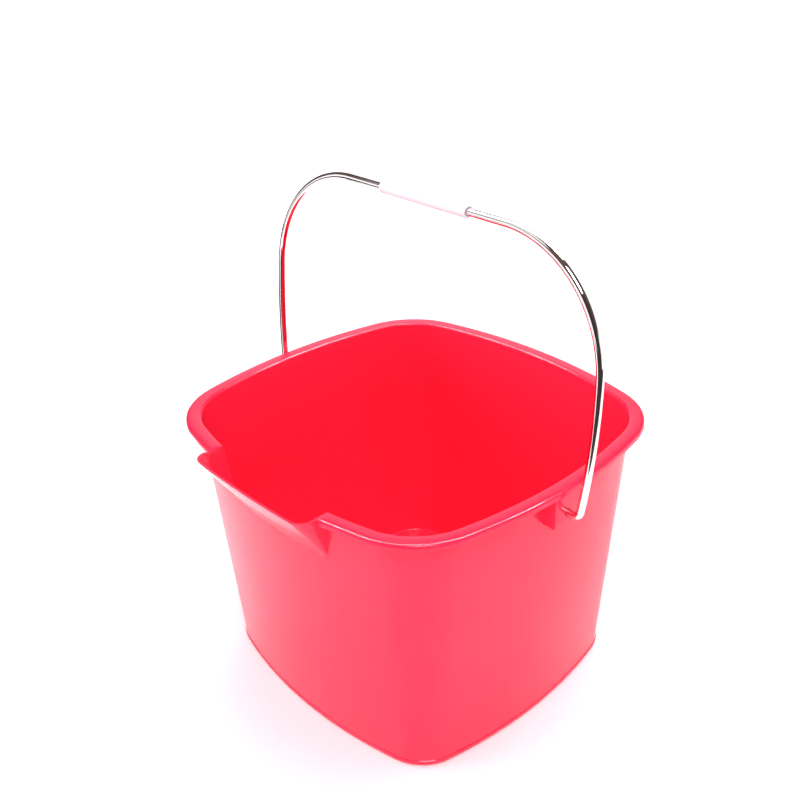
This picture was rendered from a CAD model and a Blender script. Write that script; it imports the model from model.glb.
from math import atan2, cos, pi, radians, sin, sqrt

import bmesh
import bpy
from mathutils import Matrix, Vector


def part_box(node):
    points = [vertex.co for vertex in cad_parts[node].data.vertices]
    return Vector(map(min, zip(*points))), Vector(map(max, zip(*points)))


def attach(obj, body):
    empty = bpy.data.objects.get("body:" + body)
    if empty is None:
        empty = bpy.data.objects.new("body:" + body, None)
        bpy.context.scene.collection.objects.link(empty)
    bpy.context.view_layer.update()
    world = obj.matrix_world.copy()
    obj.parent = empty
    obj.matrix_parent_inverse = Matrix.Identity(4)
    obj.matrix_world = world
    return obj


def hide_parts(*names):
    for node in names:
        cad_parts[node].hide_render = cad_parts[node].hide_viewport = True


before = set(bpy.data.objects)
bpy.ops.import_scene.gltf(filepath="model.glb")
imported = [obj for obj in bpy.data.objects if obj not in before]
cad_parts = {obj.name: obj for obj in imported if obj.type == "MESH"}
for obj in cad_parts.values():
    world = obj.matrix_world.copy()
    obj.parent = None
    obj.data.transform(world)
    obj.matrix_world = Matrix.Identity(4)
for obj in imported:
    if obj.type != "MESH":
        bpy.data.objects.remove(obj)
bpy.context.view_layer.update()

# ---------------------------------------------------------------------------
# Bucket. One thin-walled injection moulding in glossy red polypropylene: a bowed
# square tub with a flat turned-down rim, a pouring lip drawn out of the front wall
# and two hollow ears under the rim that take the ends of the bail.
# ---------------------------------------------------------------------------

for name in ("Cube", "Camera", "Light"):
    if name in bpy.data.objects:
        bpy.data.objects.remove(bpy.data.objects[name])

mm = 0.001
low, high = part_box("bucket")
half_x = high.x                  # middle of the tub to the rim's edge, along the bail
half_y = high.y                  # and across it, to the back
rim_top = high.z
lip_front = low.y

side_r = 358 * mm                # bow of the four sides, seen from above
corner_r = 57.8 * mm             # rounded corners, at the rim's edge
draft = 0.077                    # how far the wall leans out for each unit of height
wall = 1.8 * mm
overhang = 8.7 * mm              # rim's edge beyond the outer face of the wall
skirt = 4.0 * mm                 # depth of the turned-down edge
rim_round = 2.0 * mm             # radius of the rim's two rolled edges
floor_round = 2.4 * mm           # radius inside the tub where the wall meets the floor

lip_foot = 160.2 * mm            # height where the pouring lip leaves the wall
lip_half = 54.65 * mm            # half width of the channel at the top
lip_half_foot = 48.3 * mm        # and at its foot
lip_round = 8.2 * mm             # radius of the channel's two front corners
lip_bow = 900 * mm               # slight bow of the lip's front edge
lip_thick = 2.0 * mm             # wall and lip edge, measured level
edge_round = 0.45 * mm           # fine rounding of the lip's edges and the grip's cut ends
bead_top = 5.8 * mm              # fine bead round the foot: where it starts to stand out
bead_low = 5.4 * mm              # and where it stands out fully
bead_out = 1.004                 # by how much, as a scale of the foot


def edit(obj):
    """Opens one object in edit mode, with nothing selected in it."""
    if bpy.context.object and bpy.context.object.mode != "OBJECT":
        bpy.ops.object.mode_set(mode="OBJECT")
    bpy.ops.object.select_all(action="DESELECT")
    bpy.context.view_layer.objects.active = obj
    obj.select_set(True)
    bpy.ops.object.mode_set(mode="EDIT")
    bpy.ops.mesh.select_mode(type="VERT")
    bpy.ops.mesh.select_all(action="DESELECT")


def pick(kind, test):
    """Selects just the vertices, edges or faces of the mesh being edited that pass the test."""
    bpy.ops.mesh.select_mode(type={"verts": "VERT", "edges": "EDGE", "faces": "FACE"}[kind])
    bpy.ops.mesh.select_all(action="DESELECT")
    mesh = bmesh.from_edit_mesh(bpy.context.object.data)
    for part in list(getattr(mesh, kind)):
        if test(part):
            part.select_set(True)
    mesh.select_flush_mode()
    bmesh.update_edit_mesh(bpy.context.object.data)


def middle(part):
    """Middle of an edge or a face, from its vertices."""
    return sum((v.co for v in part.verts), Vector()) / len(part.verts)


def apply_modifier(obj, kind, **settings):
    """Adds one modifier with its settings and applies it."""
    if bpy.context.object and bpy.context.object.mode != "OBJECT":
        bpy.ops.object.mode_set(mode="OBJECT")
    bpy.ops.object.select_all(action="DESELECT")
    bpy.context.view_layer.objects.active = obj
    obj.select_set(True)
    modifier = obj.modifiers.new(kind.lower(), kind)
    for name, value in settings.items():
        setattr(modifier, name, value)
    bpy.ops.object.modifier_apply(modifier=modifier.name)


def inside(z):
    """Inset from the rim's edge of the wall's inner face at height z."""
    return -overhang - wall - (rim_top - z) * draft


# Section through the wall along the face that shows: floor, wall, rim top, turned edge.
lean = atan2(draft, 1)
section = []
turn = pi / 2 - lean
bend_steps = 8
floor_z = wall
start = inside(floor_z + floor_round * (1 - sin(lean))) - floor_round * cos(lean)
for step in range(bend_steps + 1):
    a = -pi / 2 + turn * step / bend_steps
    section.append((start + floor_round * cos(a), floor_z + floor_round + floor_round * sin(a)))
for z in (0.040, 0.080, 0.120, 0.148, 0.1565, 0.1592, lip_foot, 0.172, 0.184):
    section.append((inside(z), z))
edge_z = rim_top - rim_round
edge_in = inside(edge_z) + rim_round / cos(lean)
for step in range(bend_steps + 1):
    a = pi - lean - turn * step / bend_steps
    section.append((edge_in + rim_round * cos(a), edge_z + rim_round * sin(a)))
section.append((-overhang / 2, rim_top))
for step in range(bend_steps + 1):
    a = pi / 2 - pi / 2 * step / bend_steps
    section.append((-rim_round + rim_round * cos(a), edge_z + rim_round * sin(a)))
section.append((0.0, rim_top - skirt))

# The corner arcs touch the side arcs, which settles where their centres are.
corner = Vector((70 * mm, 70 * mm, 0))
for step in range(60):
    corner = Vector((
        sqrt((side_r - corner_r) ** 2 - corner.y ** 2) + half_x - side_r,
        (corner.y + sqrt((side_r - corner_r) ** 2 - corner.x ** 2) + half_y - side_r) / 2,
        0))
from_side = atan2(corner.y, corner.x + side_r - half_x)
to_side = atan2(corner.y + side_r - half_y, corner.x)

# A plane shrunk to the section's first corner is extruded along the section, and the
# section is swept round one quarter of the outline, arc by arc.
bpy.ops.object.select_all(action="DESELECT")
bpy.ops.mesh.primitive_plane_add(
    size=2 * wall, location=(half_x + section[0][0], 0, section[0][1]))
bucket = bpy.context.object
bucket.name = "bucket_moulding"
bpy.ops.object.transform_apply(location=True, rotation=True, scale=True)
edit(bucket)
bpy.ops.mesh.select_all(action="SELECT")
bpy.ops.mesh.merge(type="CENTER")
for (x0, z0), (x1, z1) in zip(section, section[1:]):
    bpy.ops.mesh.extrude_vertices_move(TRANSFORM_OT_translate={"value": (x1 - x0, 0, z1 - z0)})
bpy.ops.mesh.select_all(action="SELECT")
for centre, angle, steps in (
        ((half_x - side_r, 0, 0), from_side, 18),
        (tuple(corner), to_side - from_side, 36),
        ((0, half_y - side_r, 0), pi / 2 - to_side, 18)):
    bpy.ops.mesh.spin(steps=steps, angle=angle, center=centre, axis=(0, 0, -1))
apply_modifier(bucket, "MIRROR", use_axis=(True, True, False), merge_threshold=0.02 * mm)
edit(bucket)
pick("edges", lambda e: e.is_boundary and middle(e).z < floor_z + 0.2 * mm)
bpy.ops.mesh.edge_face_add()

# Room for the pouring lip is cut from the front wall and the rim, between two lines that
# spread a little upwards.
slope = (lip_half - lip_half_foot) / (rim_top - lip_foot)


def channel_side(z):
    """Half width of the pouring channel at height z."""
    return lip_half_foot + slope * (z - lip_foot)


for side in (1, -1):
    pick("faces", lambda f: middle(f).z > lip_foot and middle(f).y < 0 and abs(middle(f).x) < 75 * mm)
    bpy.ops.mesh.bisect(plane_co=(side * lip_half_foot, 0, lip_foot), plane_no=(side, 0, -slope))
pick("faces", lambda f: middle(f).z > lip_foot and middle(f).y < 0
     and abs(middle(f).x) < channel_side(middle(f).z))
bpy.ops.mesh.delete(type="FACE")

# Front of the lip: the foot's bowed line is extruded up, pulled straight, and then bowed
# a little, by spreading each of its vertices from the middle.
tiny = 0.01 * mm                 # nearer than this counts as the same place
pick("edges", lambda e: e.is_boundary and middle(e).y < 0 and abs(middle(e).x) < lip_half_foot
     and max(abs(v.co.z - lip_foot) for v in e.verts) < tiny)
bpy.ops.mesh.extrude_region_move(TRANSFORM_OT_translate={"value": (0, 0, rim_top - lip_foot)})
lip_in = lip_front + lip_thick
end_x = lip_half - lip_round
bpy.ops.transform.resize(value=(end_x / lip_half_foot, 0, 1), center_override=(0, lip_in, 0))
for x in sorted(v.co.x for v in bmesh.from_edit_mesh(bucket.data).verts if v.select):
    pick("verts", lambda v: v.co.z > rim_top - tiny
         and abs(v.co.y - lip_in) < tiny and abs(v.co.x - x) < tiny)
    bpy.ops.transform.translate(value=(0, lip_bow - sqrt(lip_bow ** 2 - x ** 2), 0))

# Each front corner is a part cone: an arc spun from the lip's end, closed to the foot.
end_y = lip_in + lip_bow - sqrt(lip_bow ** 2 - end_x ** 2)
corner_y = end_y + lip_round
for side in (1, -1):
    pick("verts", lambda v: (v.co - Vector((side * end_x, end_y, rim_top))).length < tiny)
    bpy.ops.mesh.spin(
        steps=12, angle=side * pi / 2, center=(side * end_x, corner_y, 0), axis=(0, 0, -1))
    arc = [e for e in bmesh.from_edit_mesh(bucket.data).edges
           if not e.link_faces and side * middle(e).x > end_x
           and min(v.co.z for v in e.verts) > rim_top - tiny]
    for start, end in [[v.co.copy() for v in e.verts] for e in arc]:
        pick("verts", lambda v: (v.co - start).length < tiny or (v.co - end).length < tiny
             or (side * v.co.x > lip_half_foot - tiny and side * v.co.x < lip_half_foot + tiny
                 and abs(v.co.z - lip_foot) < tiny and v.co.y < 0))
        bpy.ops.mesh.edge_face_add()

# Each side of the lip is flat, from the wall and the rim's cut end out to the corner. Rows
# of vertices above the foot, here and on the front, keep the shading close to the bends.
for side in (1, -1):
    cut_line = [v.co.y for v in bmesh.from_edit_mesh(bucket.data).verts
                if v.is_boundary and abs(side * v.co.x - lip_half) < tiny
                and v.co.z > rim_top - tiny and v.co.y < 0]
    rim_y = sorted(y for y in cut_line if y > corner_y + tiny)[0]
    pick("verts", lambda v: abs(side * v.co.x - lip_half) < tiny and v.co.z > rim_top - tiny
         and (abs(v.co.y - corner_y) < tiny or abs(v.co.y - rim_y) < tiny))
    bpy.ops.mesh.edge_face_add()
    pick("edges", lambda e: len(e.link_faces) < 2 and middle(e).y < 0
         and abs(side * middle(e).x - channel_side(middle(e).z)) < tiny
         and (middle(e).y > rim_y - tiny or middle(e).z > rim_top - tiny
              or min(v.co.z for v in e.verts) < lip_foot + tiny))
    bpy.ops.mesh.edge_face_add()
    for height in (1.2, 3, 6, 12, 22):
        pick("faces", lambda f: side * middle(f).x > lip_half - lip_round and middle(f).y < 0
             and lip_foot < middle(f).z and middle(f).y < rim_y + 60 * mm
             and len(f.verts) < 5 and min(v.co.z for v in f.verts) < lip_foot + height * mm
             and max(v.co.z for v in f.verts) > lip_foot + height * mm
             and side * middle(f).x < channel_side(middle(f).z) - tiny)
        bpy.ops.mesh.bisect(plane_co=(0, 0, lip_foot + height * mm), plane_no=(0, 0, 1))

for height in (1.2, 12):
    pick("faces", lambda f: middle(f).y < 0 and abs(middle(f).x) < end_x and lip_foot < middle(f).z
         and min(v.co.z for v in f.verts) < lip_foot + height * mm - tiny
         and max(v.co.z for v in f.verts) > lip_foot + height * mm + tiny)
    bpy.ops.mesh.bisect(plane_co=(0, 0, lip_foot + height * mm), plane_no=(0, 0, 1))

# The whole skin gets its thickness on its outer side.
bpy.ops.mesh.select_all(action="SELECT")
bpy.ops.mesh.remove_doubles(threshold=0.005 * mm)
bpy.ops.mesh.select_all(action="SELECT")
bpy.ops.mesh.normals_make_consistent(inside=False)
open_mesh = bmesh.from_edit_mesh(bucket.data)
floor_face = min(open_mesh.faces, key=lambda f: (round(middle(f).z, 5), -f.calc_area()))
if floor_face.normal.z > 0:
    bpy.ops.mesh.flip_normals()
bpy.ops.object.mode_set(mode="OBJECT")
apply_modifier(bucket, "SOLIDIFY", thickness=wall, offset=1.0, use_even_offset=True)

# The lip's edge is levelled off, and its edges, the rim's lower edge and the fine bends
# where the lip leaves the wall are rounded as a mould rounds them.
edit(bucket)
pick("verts", lambda v: v.co.y < rim_y - 3 * mm and abs(v.co.x) < lip_half + lip_thick + tiny
     and v.co.z > rim_top - 1.6 * mm)
bpy.ops.transform.resize(value=(1, 1, 0), center_override=(0, 0, rim_top))
pick("edges", lambda e: len(e.link_faces) == 2 and middle(e).y < -105 * mm and abs(middle(e).x) < 60 * mm
     and middle(e).z > lip_foot - 3 * mm
     and e.calc_face_angle() > radians(18 if middle(e).z > lip_foot + 0.8 * mm else 9))
bpy.ops.mesh.bevel(offset=edge_round, segments=3, clamp_overlap=True)
bpy.ops.object.mode_set(mode="OBJECT")

# A fine bead stands out round the foot.
edit(bucket)
for height in (bead_top, bead_low):
    pick("faces", lambda f: f.normal.z < 0 and f.normal.x * middle(f).x + f.normal.y * middle(f).y > 0
         and min(v.co.z for v in f.verts) < height - tiny
         and max(v.co.z for v in f.verts) > height + tiny)
    bpy.ops.mesh.bisect(plane_co=(0, 0, height), plane_no=(0, 0, 1))
pick("verts", lambda v: v.co.z < bead_low + tiny and v.normal.z < -0.01)
bpy.ops.transform.resize(value=(bead_out, bead_out, 1), center_override=(0, 0, 0))
bpy.ops.object.mode_set(mode="OBJECT")

# Ears: hollow boxes, open below, between the wall and the underside of the rim.
ear_face = 138.5 * mm
ear_half = 12 * mm
ear_low = 168.5 * mm
ear_high = rim_top - 1.0 * mm
ear_root = 128.2 * mm
ear_plate = 2.2 * mm
ear_round = 0.5 * mm
pivot_z = 176.5 * mm             # height of the pin holes
pin_hole_r = 2.85 * mm

bpy.ops.mesh.primitive_cube_add(
    size=1, location=((ear_face + ear_root) / 2, 0, (ear_low + ear_high) / 2),
    scale=(ear_face - ear_root, 2 * ear_half, ear_high - ear_low))
ears = bpy.context.object
bpy.ops.object.transform_apply(location=True, rotation=True, scale=True)
edit(ears)
pick("verts", lambda v: v.co.x < ear_root + tiny and v.co.z > ear_low + tiny)
bpy.ops.transform.translate(value=((ear_high - ear_low) * draft, 0, 0))
pick("faces", lambda f: f.normal.z < -0.5)
bpy.ops.mesh.inset(thickness=ear_plate)
bpy.ops.mesh.extrude_region_move(
    TRANSFORM_OT_translate={"value": (0, 0, ear_high - ear_low - 2 * mm)})
pick("edges", lambda e: e.calc_face_angle(0) > 1 and middle(e).x > ear_root + tiny
     and (max(v.co.x for v in e.verts) > ear_face - tiny or max(v.co.z for v in e.verts) < ear_low + tiny)
     and middle(e).z < ear_high - tiny)
bpy.ops.mesh.bevel(offset=ear_round, segments=3)
apply_modifier(ears, "MIRROR", use_axis=(True, False, False), use_mirror_merge=False)

bpy.ops.mesh.primitive_cylinder_add(
    vertices=48, radius=pin_hole_r, depth=6 * mm,
    location=(ear_face, 0, pivot_z), rotation=(0, pi / 2, 0))
holes = bpy.context.object
bpy.ops.object.transform_apply(location=True, rotation=True, scale=True)
apply_modifier(holes, "MIRROR", use_axis=(True, False, False), use_mirror_merge=False)
for shape, how in ((ears, "UNION"), (holes, "DIFFERENCE")):
    apply_modifier(bucket, "BOOLEAN", object=shape, operation=how, solver="EXACT")
    bpy.data.objects.remove(shape)
bpy.ops.object.select_all(action="DESELECT")
bucket.select_set(True)
bpy.context.view_layer.objects.active = bucket
bpy.ops.object.shade_smooth_by_angle(angle=radians(30))


def linear(hex_colour):
    """An sRGB hex colour as linear RGBA."""
    parts = [int(hex_colour[i:i + 2], 16) / 255 for i in (1, 3, 5)]
    return tuple(c / 12.92 if c <= 0.04045 else ((c + 0.055) / 1.055) ** 2.4 for c in parts) + (1.0,)


def add(tree, kind, settings=None, links=None):
    """Adds one node with its settings, by socket or by property name, and links its inputs."""
    node = tree.nodes.new(kind)
    for name, value in (settings or {}).items():
        if isinstance(name, int) or name in node.inputs:
            node.inputs[name].default_value = value
        else:
            setattr(node, name, value)
    for name, source in (links or {}).items():
        tree.links.new(source, node.inputs[name])
    return node


def new_material(name):
    """An empty node material and its output."""
    material = bpy.data.materials.new(name)
    material.use_nodes = True
    material.node_tree.nodes.clear()
    return material, material.node_tree


# Polypropylene, injection moulded in a polished tool: a strong clear red with a high
# gloss whose shine is a little pink, a faint ripple from the cooling skin, and patches
# that wear has left slightly duller.
moulded_pp, tree = new_material("polypropylene_moulded_gloss")
where = add(tree, "ShaderNodeTexCoord").outputs["Object"]
flow = add(tree, "ShaderNodeTexNoise", {"Scale": 1 / (70 * mm), "Detail": 3.0}, {"Vector": where})
tint = add(tree, "ShaderNodeMix", {"data_type": "RGBA"}, {"Factor": flow.outputs["Fac"]})
tint.inputs[6].default_value = linear("#f72846")
tint.inputs[7].default_value = linear("#f62a4c")
ripple = add(tree, "ShaderNodeTexNoise", {"Scale": 1 / (9 * mm), "Detail": 2.0}, {"Vector": where})
worn = add(tree, "ShaderNodeTexNoise", {"Scale": 1 / (22 * mm), "Detail": 3.0}, {"Vector": where})
dull = add(tree, "ShaderNodeMapRange", {"From Min": 0.3, "From Max": 0.7, "To Min": 0.09, "To Max": 0.15},
           {"Value": worn.outputs["Fac"]})
relief = add(tree, "ShaderNodeBump", {"Strength": 0.15, "Distance": 0.03 * mm},
             {"Height": ripple.outputs["Fac"]})
surface = add(tree, "ShaderNodeBsdfPrincipled",
              {"IOR": 1.49, "Specular IOR Level": 0.34, "Specular Tint": linear("#ffebff")},
              {"Base Color": tint.outputs[2], "Roughness": dull.outputs["Result"],
               "Normal": relief.outputs["Normal"]})
add(tree, "ShaderNodeOutputMaterial", links={"Surface": surface.outputs["BSDF"]})
bucket.data.materials.clear()
bucket.data.materials.append(moulded_pp)
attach(bucket, "bucket")
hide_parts("bucket")

# ---------------------------------------------------------------------------
# Bail. One length of chrome plated steel wire, bent to a tall arch whose two ends
# turn in through the ears as the pins that it swings on.
# ---------------------------------------------------------------------------

wire_r = 2.59 * mm
bail_h = 167.6 * mm              # pivot to the middle of the wire at the top
straight_half = 70.4 * mm        # straight part at the top, from the middle
shoulder_r = 80.3 * mm
shoulder_turn = radians(87)
leg_r = 488 * mm                 # slight bow of each leg
pin_bend_r = 5 * mm
pin_end = 132.8 * mm             # cut end of the pin, inside the ear
pin_round = 0.5 * mm             # rounding of the cut end
tilt = radians(4.85)             # lean of the arch towards the back, at rest

shoulder_c = Vector((straight_half, bail_h - shoulder_r))
leg_c = shoulder_c + (shoulder_r - leg_r) * Vector((sin(shoulder_turn), cos(shoulder_turn)))
pin_c = Vector((leg_c.x + sqrt((leg_r - pin_bend_r) ** 2 - (pin_bend_r - leg_c.y) ** 2), pin_bend_r))
leg_foot = atan2(pin_c.y - leg_c.y, pin_c.x - leg_c.x)


def in_arch(across, up):
    """Point in the arch's leaning plane, from its distance across and up from the pivot."""
    return Vector((across, up * sin(tilt), pivot_z + up * cos(tilt)))


arch_axis = (0, cos(tilt), -sin(tilt))
bpy.ops.object.select_all(action="DESELECT")
bpy.ops.mesh.primitive_circle_add(
    vertices=48, radius=wire_r, location=in_arch(pin_end, 0), rotation=(0, pi / 2, 0))
bail = bpy.context.object
bail.name = "bail_wire"
bpy.ops.object.transform_apply(location=True, rotation=True, scale=True)
edit(bail)
bpy.ops.mesh.select_all(action="SELECT")
bpy.ops.mesh.extrude_region_move(TRANSFORM_OT_translate={"value": (pin_c.x - pin_end, 0, 0)})
for centre, angle, steps in (
        (pin_c, leg_foot + pi / 2, 20),
        (leg_c, pi / 2 - shoulder_turn - leg_foot, 40),
        (shoulder_c, shoulder_turn, 90)):
    bpy.ops.mesh.spin(steps=steps, angle=angle, center=in_arch(*centre), axis=arch_axis)
bpy.ops.mesh.extrude_region_move(TRANSFORM_OT_translate={"value": (-straight_half, 0, 0)})
pick("edges", lambda e: e.is_boundary and middle(e).z < pivot_z + 5 * mm)
bpy.ops.mesh.edge_face_add()
bpy.ops.mesh.bevel(offset=pin_round, segments=3)
apply_modifier(bail, "MIRROR", use_axis=(True, False, False), merge_threshold=0.02 * mm)
edit(bail)
bpy.ops.mesh.select_all(action="SELECT")
bpy.ops.mesh.normals_make_consistent(inside=False)
bpy.ops.object.mode_set(mode="OBJECT")
bpy.ops.object.shade_smooth_by_angle(angle=radians(40))

# Chrome plate over drawn steel wire: mirror bright, with a very fine unevenness from the
# wire below it and a few duller rubbed patches.
chrome_plate, tree = new_material("chrome_plated_drawn_steel")
where = add(tree, "ShaderNodeTexCoord").outputs["Object"]
rubbed = add(tree, "ShaderNodeTexNoise", {"Scale": 1 / (8 * mm), "Detail": 4.0}, {"Vector": where})
dull = add(tree, "ShaderNodeMapRange", {"From Min": 0.4, "From Max": 0.8, "To Min": 0.03, "To Max": 0.12},
           {"Value": rubbed.outputs["Fac"]})
fine = add(tree, "ShaderNodeTexNoise", {"Scale": 1 / (3 * mm), "Detail": 2.0}, {"Vector": where})
relief = add(tree, "ShaderNodeBump", {"Strength": 0.05, "Distance": 0.01 * mm},
             {"Height": fine.outputs["Fac"]})
surface = add(tree, "ShaderNodeBsdfPrincipled", {"Metallic": 1.0, "Base Color": linear("#e6e4e2")},
              {"Roughness": dull.outputs["Result"], "Normal": relief.outputs["Normal"]})
add(tree, "ShaderNodeOutputMaterial", links={"Surface": surface.outputs["BSDF"]})
bail.data.materials.append(chrome_plate)
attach(bail, "bail")
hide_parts("bail")

# ---------------------------------------------------------------------------
# Grip. A plain sleeve of white polyethylene slipped over the wire before it was bent,
# free to turn on it.
# ---------------------------------------------------------------------------

grip_low, grip_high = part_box("grip")
grip_r = (grip_high.y - grip_low.y) / 2
grip_wall = 1.45 * mm            # leaves the sleeve loose on the wire
bpy.ops.object.select_all(action="DESELECT")
bpy.ops.mesh.primitive_cylinder_add(
    vertices=64, radius=grip_r, depth=grip_high.x - grip_low.x, end_fill_type="NOTHING",
    location=(grip_low + grip_high) / 2, rotation=(0, pi / 2, 0))
grip = bpy.context.object
grip.name = "grip_sleeve"
bpy.ops.object.transform_apply(location=True, rotation=True, scale=True)
apply_modifier(grip, "SOLIDIFY", thickness=grip_wall, offset=-1.0, use_even_offset=True)
apply_modifier(grip, "BEVEL", width=edge_round, segments=3, limit_method="ANGLE", angle_limit=radians(60))
bpy.ops.object.shade_smooth_by_angle(angle=radians(40))

# Polyethylene, extruded and cut: milky white with a soft satin sheen, a fine grain, and
# patches polished by handling.
sleeve_pe, tree = new_material("polyethylene_extruded_satin")
where = add(tree, "ShaderNodeTexCoord").outputs["Object"]
handled = add(tree, "ShaderNodeTexNoise", {"Scale": 1 / (12 * mm), "Detail": 4.0}, {"Vector": where})
tint = add(tree, "ShaderNodeMix", {"data_type": "RGBA"}, {"Factor": handled.outputs["Fac"]})
tint.inputs[6].default_value = linear("#e6dde5")
tint.inputs[7].default_value = linear("#ddd4dc")
dull = add(tree, "ShaderNodeMapRange", {"From Min": 0.3, "From Max": 0.7, "To Min": 0.34, "To Max": 0.48},
           {"Value": handled.outputs["Fac"]})
grain = add(tree, "ShaderNodeTexNoise", {"Scale": 1 / (1.5 * mm), "Detail": 3.0}, {"Vector": where})
relief = add(tree, "ShaderNodeBump", {"Strength": 0.3, "Distance": 0.02 * mm},
             {"Height": grain.outputs["Fac"]})
surface = add(tree, "ShaderNodeBsdfPrincipled", {"IOR": 1.51},
              {"Base Color": tint.outputs[2], "Roughness": dull.outputs["Result"],
               "Normal": relief.outputs["Normal"]})
add(tree, "ShaderNodeOutputMaterial", links={"Surface": surface.outputs["BSDF"]})
grip.data.materials.append(sleeve_pe)
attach(grip, "grip")
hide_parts("grip")

# ---------------------------------------------------------------------------
# Studio: a wide white paper floor, a dome for the chrome to reflect, soft light from
# above, from high in front and from the left, a strip light, and the camera.
# ---------------------------------------------------------------------------

# Matt white paper, laid flat far past the part on every side.
bpy.ops.object.select_all(action="DESELECT")
bpy.ops.mesh.primitive_plane_add(size=30, location=(0, 0, 0))
floor = bpy.context.object
floor.name = "studio_floor"
paper, tree = new_material("white_paper_sweep")
surface = add(tree, "ShaderNodeBsdfDiffuse", {"Color": linear("#fdf8fc")})
add(tree, "ShaderNodeOutputMaterial", links={"Surface": surface.outputs["BSDF"]})
floor.data.materials.append(paper)

# The dome is pale low down and dark above, with two pale panels in the dark: one low
# behind the tub and one high at the left.
world = bpy.data.worlds.new("studio_dome")
bpy.context.scene.world = world
world.use_nodes = True
tree = world.node_tree
tree.nodes.clear()
aim = add(tree, "ShaderNodeTexCoord").outputs["Generated"]
height = add(tree, "ShaderNodeSeparateXYZ", links={"Vector": aim})
low_band = add(tree, "ShaderNodeMapRange",
               {"From Min": 0.2, "From Max": 0.32, "To Min": 1.0, "To Max": 0.0},
               {"Value": height.outputs["Z"]})
behind = add(tree, "ShaderNodeVectorMath", {"operation": "DOT_PRODUCT", 1: (-0.70, 0.645, 0.305)}, {0: aim})
sweep = add(tree, "ShaderNodeMapRange", {"From Min": 0.935, "From Max": 0.975},
            {"Value": behind.outputs["Value"]})
beside = add(tree, "ShaderNodeVectorMath", {"operation": "DOT_PRODUCT", 1: (-0.45, -0.5, 0.74)}, {0: aim})
window = add(tree, "ShaderNodeMapRange", {"From Min": 0.93, "From Max": 0.945},
             {"Value": beside.outputs["Value"]})
panels = add(tree, "ShaderNodeMath", {"operation": "MAXIMUM"},
             {0: sweep.outputs["Result"], 1: window.outputs["Result"]})
lit = add(tree, "ShaderNodeMath", {"operation": "MAXIMUM"},
          {0: low_band.outputs["Result"], 1: panels.outputs["Value"]})
shade = add(tree, "ShaderNodeMix", {"data_type": "RGBA"}, {"Factor": lit.outputs["Value"]})
shade.inputs[6].default_value = linear("#5c4c4a")
shade.inputs[7].default_value = linear("#fffaff")
dome = add(tree, "ShaderNodeBackground", {"Strength": 1.2}, {"Color": shade.outputs[2]})
add(tree, "ShaderNodeOutputWorld", links={"Surface": dome.outputs["Background"]})

# Three soft suns. Only the key light shows in the gloss, since the others would whiten
# the chrome.
for name, aim_from, energy, spread, in_gloss in (
        ("key_light", (0.5, -0.35, 0.9), 1.9, 22, True),
        ("fill_light", (-0.7, -0.65, 0.35), 1.4, 40, False),
        ("top_light", (0.0, 0.3, 0.92), 2.3, 50, False)):
    bpy.ops.object.light_add(type="SUN", location=(0, 0, 2))
    lamp = bpy.context.object
    lamp.name = name
    lamp.data.energy = energy
    lamp.data.angle = radians(spread)
    lamp.rotation_euler = Vector(aim_from).to_track_quat("Z", "Y").to_euler()
    lamp.visible_glossy = in_gloss

# Strip light overhead, from the left to the back right: it draws the bright line along
# the rim's rolled edge.
tub = Vector((0, 0, 0.2))
ends = [tub + 1.5 * Vector(way) for way in ((-0.65, -0.2, 0.74), (0.2, 0.6, 0.77))]
along = (ends[1] - ends[0]).normalized()
aim_from = ((ends[0] + ends[1]) / 2 - tub).normalized()
bpy.ops.object.light_add(type="AREA", location=(0, 0, 0))
strip = bpy.context.object
strip.name = "strip_light"
strip.data.shape = "RECTANGLE"
strip.data.size = (ends[1] - ends[0]).length
strip.data.size_y = 0.11
strip.data.energy = 65
strip.visible_diffuse = False
strip.matrix_world = Matrix.Translation((ends[0] + ends[1]) / 2) @ Matrix(
    (along, aim_from.cross(along), aim_from)).transposed().to_4x4()

around = radians(46.52)
above = radians(26.76)
roll = radians(-1.18)
away = 738.32 * mm
target = Vector((-7.864, 23.698, 211.876)) * mm
back = Vector((sin(around) * cos(above), -cos(around) * cos(above), sin(above)))
level = (-back).cross(Vector((0, 0, 1))).normalized()
upward = level.cross(-back)
right = cos(roll) * level + sin(roll) * upward
top = -sin(roll) * level + cos(roll) * upward
bpy.ops.object.camera_add()
camera = bpy.context.object
facing = Matrix((right, top, back)).transposed().to_4x4()
camera.matrix_world = Matrix.Translation(target + back * away) @ facing
camera.data.lens = 47.2
camera.data.sensor_width = 36
camera.data.shift_x = -0.0369
camera.data.shift_y = -0.0322
camera.data.clip_start = 0.01
camera.data.clip_end = 100
bpy.context.scene.camera = camera
bpy.context.scene.view_settings.view_transform = "Standard"

# Dark parts of the room, seen in the chrome and the gloss only: on the floor under the
# camera, standing behind the camera, and at the left, on the floor and standing.
unlit, tree = new_material("unlit_room")
surface = add(tree, "ShaderNodeEmission", {"Color": linear("#43393a")})
add(tree, "ShaderNodeOutputMaterial", links={"Surface": surface.outputs["Emission"]})
for name, place, wide, deep, turned in (
        ("room_floor", (0.725 * 1.98, -0.689 * 1.98, 0.002), 3, 3, (0, 0, -around)),
        ("room_end", (0.87, -0.83, 0.75), 2, 1.4, (pi / 2, 0, around)),
        ("room_left_floor", (-1.0, -0.25, 0.002), 1.1, 1.1, (0, 0, 0)),
        ("room_left", (-1.5, -0.15, 0.4), 1.3, 0.8, (pi / 2, 0, pi / 2))):
    bpy.ops.object.select_all(action="DESELECT")
    bpy.ops.mesh.primitive_plane_add(size=1, location=place, rotation=turned)
    room = bpy.context.object
    room.name = name
    room.scale = (wide, deep, 1)
    room.data.materials.append(unlit)
    room.visible_camera = False
    room.visible_diffuse = False
    room.visible_shadow = False
    room.visible_transmission = False

bpy.ops.object.select_all(action="DESELECT")
